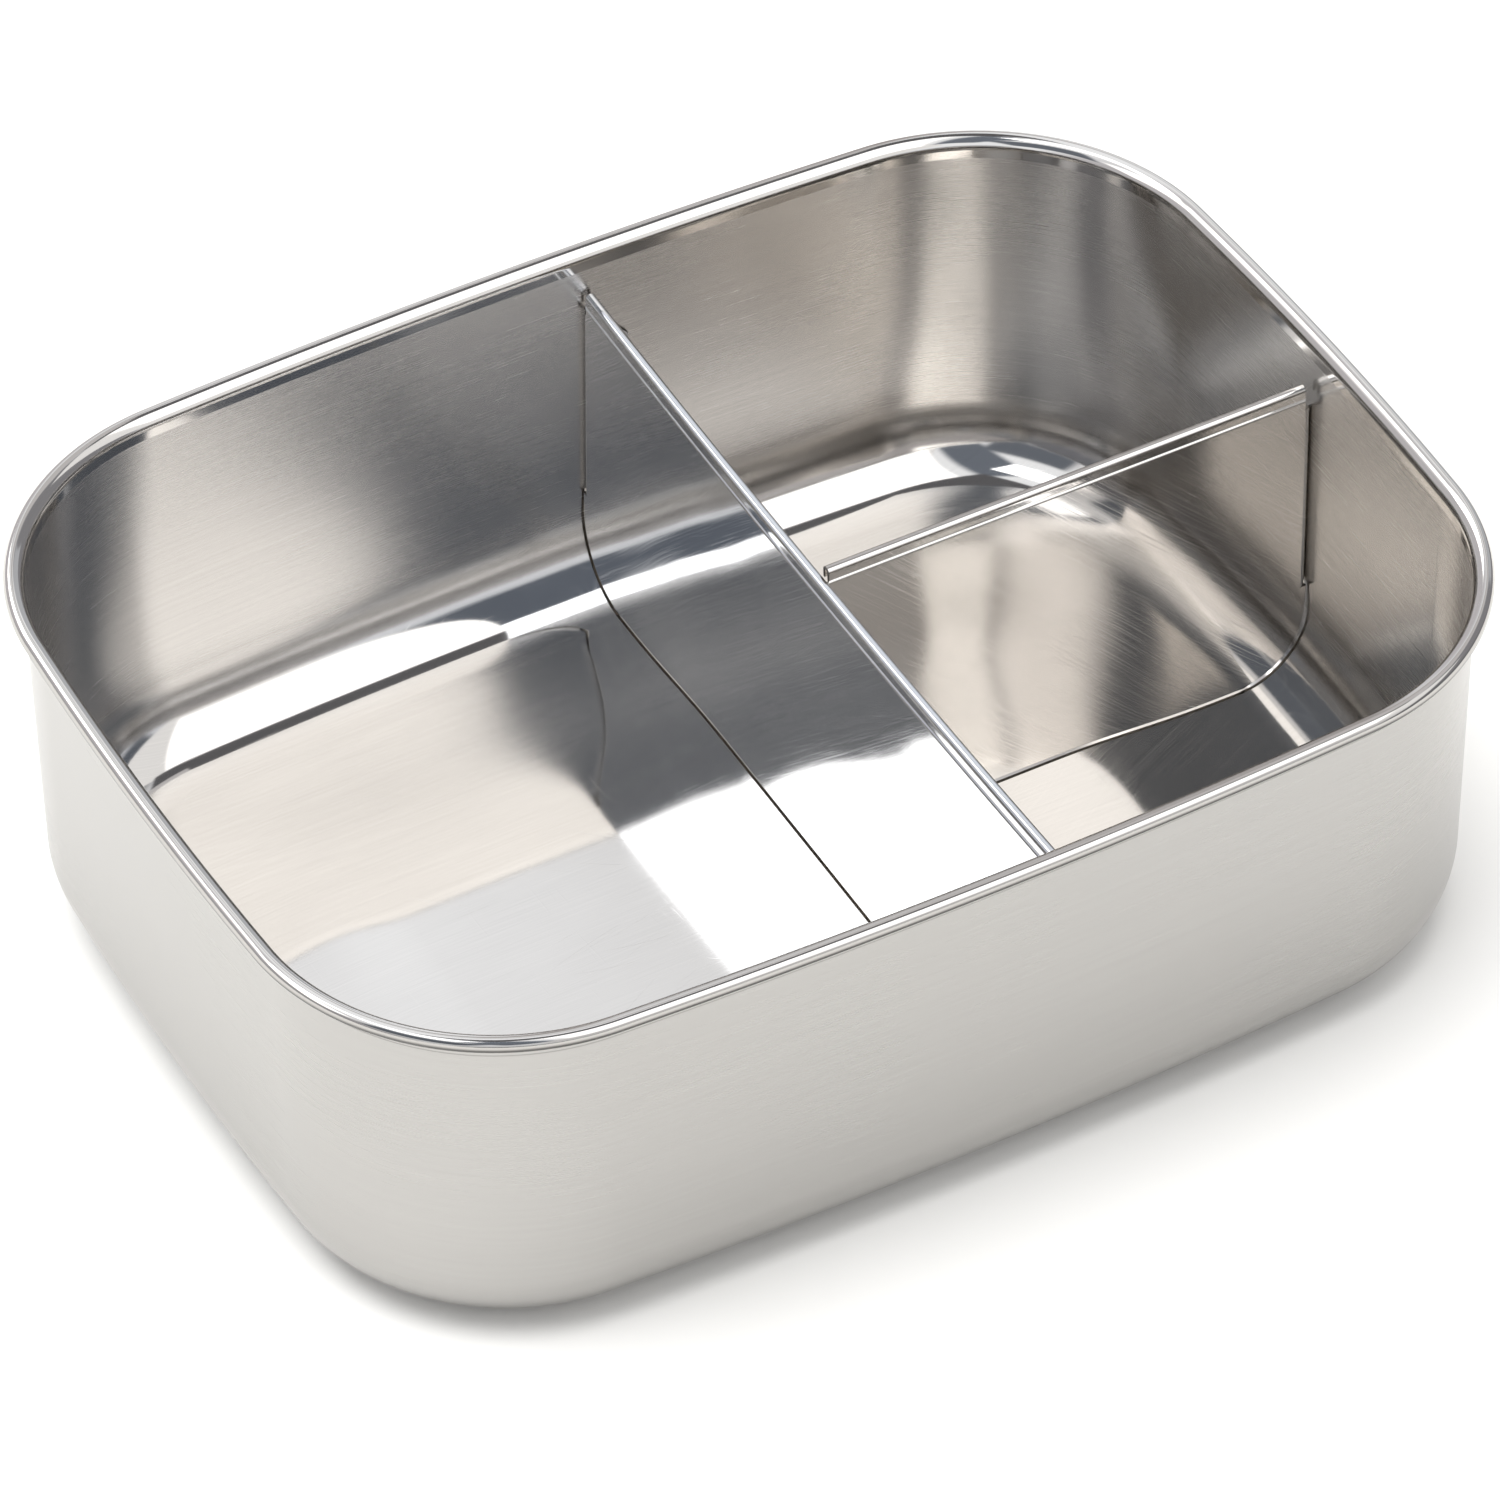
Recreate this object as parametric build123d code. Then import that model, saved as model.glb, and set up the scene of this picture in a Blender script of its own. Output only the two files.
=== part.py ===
from build123d import *
import os
import math

# ---------------------------------------------------------------------------
# Three-compartment stainless lunch box base.
# Frame: origin at the centre of the underside, +Z up, X along the long side.
# Three pieces of sheet: a drawn tray with a curled rim, a full-width divider,
# and a short divider from it to the right-hand end wall.
# All lengths in millimetres, angles in degrees.
# ---------------------------------------------------------------------------

# overall size
LENGTH = 200.0            # outside of the curled rim, along X
WIDTH = 152.6             # outside of the curled rim, along Y
HEIGHT = 64.0             # underside to top of the rim

# sheet and rim
T = 0.5                   # sheet thickness of all three pieces
BEAD_R = 1.2              # outside radius of the curled rim
CURL_END = -150.0         # where the curl stops, degrees from outward
FLARE_R = 2.2             # inside surface radius where the wall runs into the curl
WALL_IN = 1.45            # outside wall face inboard of the curl's centre, at rim level
DRAFT = 0.013             # wall slope, mm inward per mm of depth
FILLET_OUT = 12.9         # outside radius between wall and floor

# outline of the curl's centre line: eight tangent arcs
SIDE_LONG_R = 1084.0      # gentle bow of the long sides
SIDE_SHORT_R = 721.0      # gentle bow of the short sides
CORNER_R = 39.0           # plan corner radius

# divider hems (open roll towards the far side, after a small jog of the sheet)
HEM_R = 0.85              # outside radius of the roll
LIP = 1.2                 # straight lip below the roll
JOG = -0.25               # step of the roll towards the near side, here set back from it
JOG_LO, JOG_HI = 1.6, 1.3   # the step's lower and upper end, below the roll's centre
EDGE_GAP = 0.3            # clearance of a divider's free edge to the tray
TAB_GAP = 0.05            # a weld tab lies this close to the wall
TAB_W = 7.8               # weld tab width, measured from the sheet
TAB_TOP = 52.5            # top corner of a tab, where its 45 degree cut starts at the sheet
TAB_BOTTOM = 17.0         # lower end of a tab at the sheet
TAB_SET = 0.06            # a tab starts this far behind the sheet's visible face
WELD_R = 1.5              # spot weld nugget radius
WELD_BITE = -0.001        # the nugget ends on the wall, with no overlap

# long divider, parallel to Y
LD_X = 11.21              # X of the sheet's left face at hem height, mid length
LD_LEAN = 1.55            # lean of the sheet from vertical, top towards +X
LD_SKEW = -0.35           # rotation about Z
LD_HEM_Z = 55.4           # height of the hem's centre at its ends
LD_SAG = 1.6              # dip of the hem at mid length
LD_END_GAP = 0.9          # hem end to the wall, each end

# short divider, parallel to X
SD_Y = -0.10              # Y of the sheet's near face at hem height
SD_LEAN = 1.65            # lean of the sheet from vertical, top towards +Y
SD_HEM_Z = 55.1           # height of the hem's centre
SD_END_GAP = 1.3          # hem end to the end wall
SD_START_GAP = 0.45       # hem end to the long divider's hem

os.makedirs("parts", exist_ok=True)

A = LENGTH / 2 - BEAD_R
B = WIDTH / 2 - BEAD_R
Z0 = HEIGHT - BEAD_R
ALPHA = math.atan(DRAFT)
CA, SA = math.cos(ALPHA), math.sin(ALPHA)


def outline():
    """Centres and angles of the eight tangent arcs (first quadrant)."""
    yc = B - SIDE_LONG_R
    xc = A - SIDE_SHORT_R
    d1 = SIDE_LONG_R - CORNER_R
    d2 = SIDE_SHORT_R - CORNER_R
    dx, dy = xc, -yc
    dist = math.hypot(dx, dy)
    a = (d1 * d1 - d2 * d2 + dist * dist) / (2 * dist)
    h = math.sqrt(d1 * d1 - a * a)
    mx, my = a * dx / dist, yc + a * dy / dist
    c = (mx - h * (dy) / dist, my + h * dx / dist)
    if c[0] < 0 or c[1] < 0:
        c = (mx + h * dy / dist, my - h * dx / dist)
    a_short = math.degrees(math.atan2(c[1], c[0] - xc))
    a_long = math.degrees(math.atan2(c[1] - yc, c[0]))
    return c, xc, yc, a_short, a_long


CORNER, XC, YC, ANG_S, ANG_L = outline()

# each arc: centre, radius, start angle, sweep
ARCS = [
    ((XC, 0.0), SIDE_SHORT_R, -ANG_S, 2 * ANG_S),
    ((CORNER[0], CORNER[1]), CORNER_R, ANG_S, ANG_L - ANG_S),
    ((0.0, YC), SIDE_LONG_R, ANG_L, 180.0 - 2 * ANG_L),
    ((-CORNER[0], CORNER[1]), CORNER_R, 180.0 - ANG_L, ANG_L - ANG_S),
    ((-XC, 0.0), SIDE_SHORT_R, 180.0 - ANG_S, 2 * ANG_S),
    ((-CORNER[0], -CORNER[1]), CORNER_R, 180.0 + ANG_S, ANG_L - ANG_S),
    ((0.0, -YC), SIDE_LONG_R, 180.0 + ANG_L, 180.0 - 2 * ANG_L),
    ((CORNER[0], -CORNER[1]), CORNER_R, 360.0 - ANG_L, ANG_L - ANG_S),
]

# floor begins this far inboard of the curl's centre line
U_FLOOR = FILLET_OUT * CA + WALL_IN + DRAFT * (Z0 - FILLET_OUT * (1 - SA))
FIL_C = (-U_FLOOR, FILLET_OUT)


def r_out(z):
    """Outside wall face, measured outward from the curl's centre line."""
    return -WALL_IN - DRAFT * (Z0 - z)


def polar(c, r, deg):
    return (c[0] + r * math.cos(math.radians(deg)), c[1] + r * math.sin(math.radians(deg)))


def arc(c, r, a0, a1):
    """Arc edge from angle a0 to a1 about c, in profile coordinates."""
    am = (a0 + a1) / 2
    return (polar(c, r, a0), polar(c, r, am), polar(c, r, a1))


# flare circle: tangent to the wall and, inside, to the curl
FR_OUT = FLARE_R - T
fz = Z0 - 0.9
for _ in range(40):
    fr = r_out(fz) + FR_OUT / CA
    fz = Z0 - math.sqrt((FLARE_R - BEAD_R) ** 2 - fr * fr)
FLARE_C = (fr, fz)
TH_FLARE = math.degrees(math.atan2(Z0 - fz, -fr))
TH_WALL = 180.0 - math.degrees(ALPHA)
BEAD_C = (0.0, Z0)


def face_from(segs, shift):
    """Planar face in XZ from a chain of ('l', p, q) and ('a', p, m, q)."""
    edges = []
    for s in segs:
        if s[0] == "l":
            edges.append(Line((s[1][0] + shift, 0, s[1][1]), (s[2][0] + shift, 0, s[2][1])))
        else:
            edges.append(ThreePointArc(*[(p[0] + shift, 0, p[1]) for p in s[1:]]))
    return Face(Wire(edges))


def sheet_profile():
    """Closed section of the wall, fillet and curl."""
    o_f = arc(FIL_C, FILLET_OUT, -90, -math.degrees(ALPHA))
    o_flare = arc(FLARE_C, FR_OUT, TH_WALL, TH_FLARE)
    o_bead = arc(BEAD_C, BEAD_R - T, TH_FLARE, CURL_END)
    i_bead = arc(BEAD_C, BEAD_R, CURL_END, TH_FLARE)
    i_flare = arc(FLARE_C, FLARE_R, TH_FLARE, TH_WALL)
    i_f = arc(FIL_C, FILLET_OUT - T, -math.degrees(ALPHA), -90)
    return [
        ("a",) + o_f,
        ("l", o_f[2], o_flare[0]),
        ("a",) + o_flare,
        ("a",) + o_bead,
        ("l", o_bead[2], i_bead[0]),
        ("a",) + i_bead,
        ("a",) + i_flare,
        ("l", i_flare[2], i_f[0]),
        ("a",) + i_f,
        ("l", i_f[2], o_f[0]),
    ]


def interior_profile(g, depth, top):
    """Section of the free space inside the tray, kept g clear of the sheet."""
    i_f = arc(FIL_C, FILLET_OUT - T - g, -90, -math.degrees(ALPHA))
    off = (T + g) / CA
    p_top = (r_out(top) - off, top)
    return [
        ("l", (-depth, T + g), i_f[0]),
        ("a",) + i_f,
        ("l", i_f[2], p_top),
        ("l", p_top, (-depth, top)),
        ("l", (-depth, top), (-depth, T + g)),
    ]


def revolved(segs, centre, radius, start, sweep):
    f = face_from(segs, radius)
    s = revolve(f, Axis.Z, revolution_arc=sweep)
    s = s.rotate(Axis.Z, start)
    return s.moved(Location((centre[0], centre[1], 0)))


# --------------------------------------------------------------------- tray
def plan_face(off, z):
    edges = []
    for (c, r, a0, sw) in ARCS:
        rr = r - off
        p = [polar(c, rr, a0), polar(c, rr, a0 + sw / 2), polar(c, rr, a0 + sw)]
        edges.append(ThreePointArc(*[(q[0], q[1], z) for q in p]))
    return Face(Wire(edges))


prof = sheet_profile()
wall_parts = [revolved(prof, c, r, a0, sw) for (c, r, a0, sw) in ARCS]
floor = extrude(plan_face(U_FLOOR, 0.0), amount=T, dir=(0, 0, 1))
tray = wall_parts[0]
for w in wall_parts[1:]:
    tray = tray + w
tray = tray + floor
tray = tray.solids()[0] if len(tray.solids()) == 1 else tray


def interior(g, side, top=70.0):
    """Space g clear of the sheet on one side of the tray."""
    if side == "back":
        return revolved(interior_profile(g, 160.0, top), (0.0, YC), SIDE_LONG_R, 84.0, 12.0)
    if side == "front":
        return revolved(interior_profile(g, 160.0, top), (0.0, -YC), SIDE_LONG_R, 264.0, 12.0)
    return revolved(interior_profile(g, 130.0, top), (XC, 0.0), SIDE_SHORT_R, -7.0, 14.0)


def wall_y(x, z, g):
    return YC + math.sqrt((SIDE_LONG_R + r_out(z) - (T + g) / CA) ** 2 - x * x)


def wall_x(y, z, g):
    return XC + math.sqrt((SIDE_SHORT_R + r_out(z) - (T + g) / CA) ** 2 - y * y)


def hem_face():
    """Open roll in local (x, z), roll centre at the origin of the section:
    the sheet comes up on the left, steps back by the jog and rolls to the right."""
    ro, ri = HEM_R, HEM_R - T
    xs = JOG - HEM_R
    top_o = arc((0, 0), ro, 180, 0)
    top_i = arc((0, 0), ri, 0, 180)
    low = JOG_LO + 0.4
    return [
        ("l", (xs, -low), (xs, -JOG_LO)),
        ("l", (xs, -JOG_LO), (-ro, -JOG_HI)),
        ("l", (-ro, -JOG_HI), (-ro, 0)),
        ("a",) + top_o,
        ("l", (ro, 0), (ro, -LIP)),
        ("l", (ro, -LIP), (ri, -LIP)),
        ("l", (ri, -LIP), (ri, 0)),
        ("a",) + top_i,
        ("l", (-ri, 0), (-ri, -JOG_HI - 0.1)),
        ("l", (-ri, -JOG_HI - 0.1), (xs + T, -JOG_LO - 0.1)),
        ("l", (xs + T, -JOG_LO - 0.1), (xs + T, -low)),
        ("l", (xs + T, -low), (xs, -low)),
    ]


def prism(points, thick, origin, normal, xdir):
    pl = Plane(origin=origin, x_dir=xdir, z_dir=normal)
    sk = pl * make_face(Polyline([(p[0], p[1]) for p in points], close=True))
    return extrude(sk, amount=thick / 2, both=True)


# ------------------------------------------------------------- long divider
# local frame: sheet between x = 0 (left face) and x = T, hem centre at
# x = HEM_R - JOG, length along y, hem height LD_HEM_Z; then leaned and skewed.
hem_cx = HEM_R - JOG
half = B - (WALL_IN + T) - LD_END_GAP
sag_r = (half * half + LD_SAG * LD_SAG) / (2 * LD_SAG)
mid_z = LD_HEM_Z - LD_SAG
sag_c = mid_z + sag_r


def lean_long(s):
    s = s.rotate(Axis((0, 0, LD_HEM_Z), (0, 1, 0)), LD_LEAN)
    s = s.rotate(Axis.Z, LD_SKEW)
    return s.moved(Location((LD_X, 0, 0)))


# hem: roll section turned about a far centre above, so it dips at mid length
hem_segs = hem_face()
hem_edges = []
for s in hem_segs:
    pts = [(p[0] + hem_cx, 0, p[1] + mid_z) for p in s[1:]]
    hem_edges.append(Line(*pts) if s[0] == "l" else ThreePointArc(*pts))
hem_f = Face(Wire(hem_edges))
half_ang = math.degrees(math.asin(half / sag_r))
hem = revolve(hem_f, Axis((0, 0, sag_c), (1, 0, 0)), revolution_arc=2 * half_ang)
hem = hem.rotate(Axis((0, 0, sag_c), (1, 0, 0)), -half_ang)

y_end = B + 2.0
top_end = sag_c - math.sqrt(sag_r ** 2 - half ** 2) - JOG_LO
mid_top = mid_z - JOG_LO
plate_edges = [
    Line((0, -y_end, -3), (0, y_end, -3)),
    Line((0, y_end, -3), (0, y_end, top_end - 0.3)),
    Line((0, y_end, top_end - 0.3), (0, half, top_end)),
    ThreePointArc((0, half, top_end), (0, 0, mid_top), (0, -half, top_end)),
    Line((0, -half, top_end), (0, -y_end, top_end - 0.3)),
    Line((0, -y_end, top_end - 0.3), (0, -y_end, -3)),
]
plate = extrude(Face(Wire(plate_edges)), amount=T, dir=(1, 0, 0))
body = lean_long(plate) & interior(EDGE_GAP, "back") & interior(EDGE_GAP, "front")
hem_w = lean_long(hem)


def tab_long(side):
    """Weld tab: a strip of sheet along the wall on the divider's +X side."""
    shell = interior(TAB_GAP, side) - interior(TAB_GAP + T, side)
    z_hi = TAB_TOP
    z_lo = TAB_BOTTOM
    x0 = LD_X - 1.2
    x1 = LD_X + TAB_W
    pts = [(x0, z_lo - 0.8), (x1, z_lo + 6.0), (x1, z_hi - 6.3), (x0 + 1.4, z_hi + 0.3), (x0, z_hi + 0.3)]
    yy = 72.0 if side == "back" else -72.0
    pr = prism(pts, 12.0, (0, yy, 0), (0, -1, 0), (1, 0, 0))
    strip = shell & pr
    # keep what lies right of the sheet's left face, set back by a hair
    keep = lean_long(Box(40, 200, 80, align=(Align.MIN, Align.CENTER, Align.MIN)).moved(Location((TAB_SET, 0, -5))))
    return strip & keep


def nuggets_long(side):
    out = []
    for z in (26.0, 35.0, 44.0):
        x = LD_X + 4.0
        y = wall_y(x, z, 0.0)
        s = 1 if side == "back" else -1
        cyl = Cylinder(WELD_R, TAB_GAP + WELD_BITE + T / 2, align=(Align.CENTER, Align.CENTER, Align.MAX))
        # axis along the wall's normal, ending just inside the wall
        nx, ny = x / (y - YC + 0.0), 1.0
        nn = math.hypot(nx, ny)
        pl = Plane(origin=(x, s * (y + WELD_BITE), z), z_dir=(CA * nx / nn, s * CA * ny / nn, -SA))
        out.append(pl.location * cyl)
    return out


tab_b = tab_long("back")
tab_f = tab_long("front")
long_div = body + hem_w + tab_b + tab_f
for n in nuggets_long("back") + nuggets_long("front"):
    long_div = long_div + n

# ------------------------------------------------------------ short divider
# local frame: sheet between y = 0 (near face) and y = T, hem rolled to +y
hem_cy = HEM_R - JOG


def lean_short(s):
    s = s.rotate(Axis((0, 0, SD_HEM_Z), (1, 0, 0)), -SD_LEAN)
    return s.moved(Location((0, SD_Y, 0)))


# right face of the long divider's sheet, as a half space beyond a gap
def right_of_long(gap):
    b = Box(120, 220, 90, align=(Align.MIN, Align.CENTER, Align.MIN)).moved(Location((T + gap, 0, -8)))
    return lean_long(b)


x_start = LD_X + 2 * HEM_R - JOG + SD_START_GAP
x_stop = wall_x(0.0, SD_HEM_Z, 0.0) - SD_END_GAP
hem_edges = []
for s in hem_segs:
    pts = [(x_start, p[0] + hem_cy, p[1] + SD_HEM_Z) for p in s[1:]]
    hem_edges.append(Line(*pts) if s[0] == "l" else ThreePointArc(*pts))
hem2 = lean_short(extrude(Face(Wire(hem_edges)), amount=x_stop - x_start, dir=(1, 0, 0)))

x_far = A + 2.0
top2 = SD_HEM_Z - JOG_LO
plate2_edges = [
    Line((5, 0, -3), (x_far, 0, -3)),
    Line((x_far, 0, -3), (x_far, 0, top2 - 0.3)),
    Line((x_far, 0, top2 - 0.3), (x_stop, 0, top2)),
    Line((x_stop, 0, top2), (x_start, 0, top2)),
    Line((x_start, 0, top2), (x_start, 0, top2 - 1.2)),
    Line((x_start, 0, top2 - 1.2), (5, 0, top2 - 1.2)),
    Line((5, 0, top2 - 1.2), (5, 0, -3)),
]
plate2 = extrude(Face(Wire(plate2_edges)), amount=T, dir=(0, 1, 0))
body2 = lean_short(plate2) & interior(EDGE_GAP, "right") & right_of_long(EDGE_GAP)


def far_side():
    return lean_short(Box(240, 60, 90, align=(Align.CENTER, Align.MIN, Align.MIN)).moved(Location((0, TAB_SET, -8))))


def tab_short_right():
    shell = interior(TAB_GAP, "right") - interior(TAB_GAP + T, "right")
    y0, y1 = SD_Y - 1.6, SD_Y + TAB_W
    pts = [(y0, TAB_BOTTOM - 0.8), (y1, TAB_BOTTOM + 6.0), (y1, TAB_TOP - 7.3), (y0 + 1.8, TAB_TOP - 0.7), (y0, TAB_TOP - 0.7)]
    pr = prism(pts, 12.0, (94.0, 0, 0), (1, 0, 0), (0, 1, 0))
    return (shell & pr) & far_side()


def tab_short_left():
    shell = right_of_long(TAB_GAP) - right_of_long(TAB_GAP + T)
    y0, y1 = SD_Y - 1.6, SD_Y + TAB_W
    pts = [(y0, 8.0), (y1, 14.0), (y1, TAB_TOP - 8.3), (y0 + 1.8, TAB_TOP - 1.7), (y0, TAB_TOP - 1.7)]
    pr = prism(pts, 12.0, (LD_X, 0, 0), (1, 0, 0), (0, 1, 0))
    return (shell & pr) & far_side()


def nuggets_short():
    out = []
    for z in (26.0, 35.0, 43.0):
        y = SD_Y + 3.8
        x = wall_x(y, z, 0.0)
        cyl = Cylinder(WELD_R, TAB_GAP + WELD_BITE + T / 2, align=(Align.CENTER, Align.CENTER, Align.MAX))
        ny = y / (x - XC)
        nn = math.hypot(1.0, ny)
        pl = Plane(origin=(x + WELD_BITE, y, z), z_dir=(CA / nn, CA * ny / nn, -SA))
        out.append(pl.location * cyl)
        cyl = Cylinder(WELD_R, TAB_GAP + WELD_BITE + T / 2, align=(Align.CENTER, Align.CENTER, Align.MIN))
        loc = Location((T - WELD_BITE, y, z - 2.0), (0, 1, 0), 90)
        out.append(lean_long(loc * cyl))
    return out


short_div = body2 + hem2 + tab_short_right() + tab_short_left()
for n in nuggets_short():
    short_div = short_div + n


def one(shape):
    s = shape.solids()
    print("solids", len(s), [round(x.volume, 1) for x in s])
    return s[0] if len(s) == 1 else shape


export_step(one(tray), "parts/tray.step")
export_step(one(long_div), "parts/long_divider.step")
export_step(one(short_div), "parts/short_divider.step")
print("corner", CORNER, "arc angles", ANG_S, ANG_L, "floor offset", U_FLOOR)
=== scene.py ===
"""Looks of a three-compartment stainless lunch box base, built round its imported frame.

Every piece is formed sheet: a dense middle surface is laid out in millimetres from the
same dimensions as the CAD model and thickened to 0.5 mm, with exact normals, so that the
polished faces mirror cleanly. Each one replaces its CAD node.
"""
import math

import bpy
import numpy as np
from mathutils import Matrix, Vector


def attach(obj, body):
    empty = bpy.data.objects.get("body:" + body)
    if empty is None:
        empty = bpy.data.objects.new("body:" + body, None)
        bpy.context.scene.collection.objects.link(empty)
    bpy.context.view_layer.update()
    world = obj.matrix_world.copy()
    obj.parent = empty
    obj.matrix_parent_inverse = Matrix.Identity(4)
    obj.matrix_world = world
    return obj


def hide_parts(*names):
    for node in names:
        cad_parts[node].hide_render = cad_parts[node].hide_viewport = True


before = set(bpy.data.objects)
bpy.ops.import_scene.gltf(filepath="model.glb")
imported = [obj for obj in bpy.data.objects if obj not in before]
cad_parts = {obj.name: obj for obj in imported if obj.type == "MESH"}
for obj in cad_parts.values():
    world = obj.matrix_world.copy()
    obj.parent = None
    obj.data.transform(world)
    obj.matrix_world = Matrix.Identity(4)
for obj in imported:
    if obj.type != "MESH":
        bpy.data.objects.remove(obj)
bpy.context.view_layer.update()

MM = 0.001

# ------------------------------------------------------------------ dimensions
T = 0.5                   # sheet
LENGTH, WIDTH, HEIGHT = 200.0, 152.6, 64.0
BEAD_R = 1.2
CURL_END = -150.0
FLARE_R = 2.2
WALL_IN = 1.45
DRAFT = 0.013
FILLET = 12.9
SIDE_LONG_R, SIDE_SHORT_R, CORNER_R = 1084.0, 721.0, 39.0

HEM_R = 0.85
LIP = 1.2
JOG, JOG_LO, JOG_HI = -0.25, 1.6, 1.3
EDGE_GAP = 0.3
BEND_R = 1.15             # middle radius of the bend between a divider and its weld tab
RAISE = 1.4               # crown of the floor inside its border

LD_X, LD_LEAN, LD_SKEW, LD_HEM_Z, LD_SAG, LD_END_GAP = 11.21, 1.55, -0.35, 55.4, 1.6, 0.9
SD_Y, SD_LEAN, SD_HEM_Z, SD_END_GAP, SD_START_GAP = -0.10, 1.65, 55.1, 1.3, 0.45

A = LENGTH / 2 - BEAD_R
B = WIDTH / 2 - BEAD_R
Z0 = HEIGHT - BEAD_R
ALPHA = math.atan(DRAFT)
CA, SA = math.cos(ALPHA), math.sin(ALPHA)
HM = T / 2


def outline():
    """Corner arc centre and junction angles of the eight tangent arcs."""
    yc, xc = B - SIDE_LONG_R, A - SIDE_SHORT_R
    d1, d2 = SIDE_LONG_R - CORNER_R, SIDE_SHORT_R - CORNER_R
    dx, dy = xc, -yc
    dist = math.hypot(dx, dy)
    a = (d1 * d1 - d2 * d2 + dist * dist) / (2 * dist)
    h = math.sqrt(d1 * d1 - a * a)
    mx, my = a * dx / dist, yc + a * dy / dist
    c = (mx - h * dy / dist, my + h * dx / dist)
    if c[0] < 0 or c[1] < 0:
        c = (mx + h * dy / dist, my - h * dx / dist)
    return c, xc, yc, math.degrees(math.atan2(c[1], c[0] - xc)), math.degrees(math.atan2(c[1] - yc, c[0]))


CORNER, XC, YC, ANG_S, ANG_L = outline()
ARCS = [
    ((XC, 0.0), SIDE_SHORT_R, -ANG_S, 2 * ANG_S, 56),
    ((CORNER[0], CORNER[1]), CORNER_R, ANG_S, ANG_L - ANG_S, 84),
    ((0.0, YC), SIDE_LONG_R, ANG_L, 180.0 - 2 * ANG_L, 90),
    ((-CORNER[0], CORNER[1]), CORNER_R, 180.0 - ANG_L, ANG_L - ANG_S, 84),
    ((-XC, 0.0), SIDE_SHORT_R, 180.0 - ANG_S, 2 * ANG_S, 56),
    ((-CORNER[0], -CORNER[1]), CORNER_R, 180.0 + ANG_S, ANG_L - ANG_S, 84),
    ((0.0, -YC), SIDE_LONG_R, 180.0 + ANG_L, 180.0 - 2 * ANG_L, 90),
    ((CORNER[0], -CORNER[1]), CORNER_R, 360.0 - ANG_L, ANG_L - ANG_S, 84),
]
U_FLOOR = FILLET * CA + WALL_IN + DRAFT * (Z0 - FILLET * (1 - SA))

fz = Z0 - 0.9
for _ in range(40):
    fr = (-WALL_IN - DRAFT * (Z0 - fz)) + (FLARE_R - T) / CA
    fz = Z0 - math.sqrt((FLARE_R - BEAD_R) ** 2 - fr * fr)
FLARE_C = (fr, fz)
TH_FLARE = math.degrees(math.atan2(Z0 - fz, -fr))


def r_out(z):
    return -WALL_IN - DRAFT * (Z0 - z)


def r_clear(z, g):
    """Inside face of the tray's section, offset by g into the space, at height z (0.5 + g and up)."""
    z = np.asarray(z, float)
    wall = r_out(z) - (T + g) / CA
    rr = FILLET - T - g
    dz = np.clip((FILLET - z) / rr, -1, 1)
    fil = -U_FLOOR + rr * np.sqrt(np.maximum(0.0, 1 - dz * dz))
    return np.where(z < FILLET - rr * SA, fil, wall)


# ------------------------------------------------------------- sheet to mesh
def unit(v):
    return v / np.maximum(np.linalg.norm(v, axis=-1, keepdims=True), 1e-12)


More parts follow.
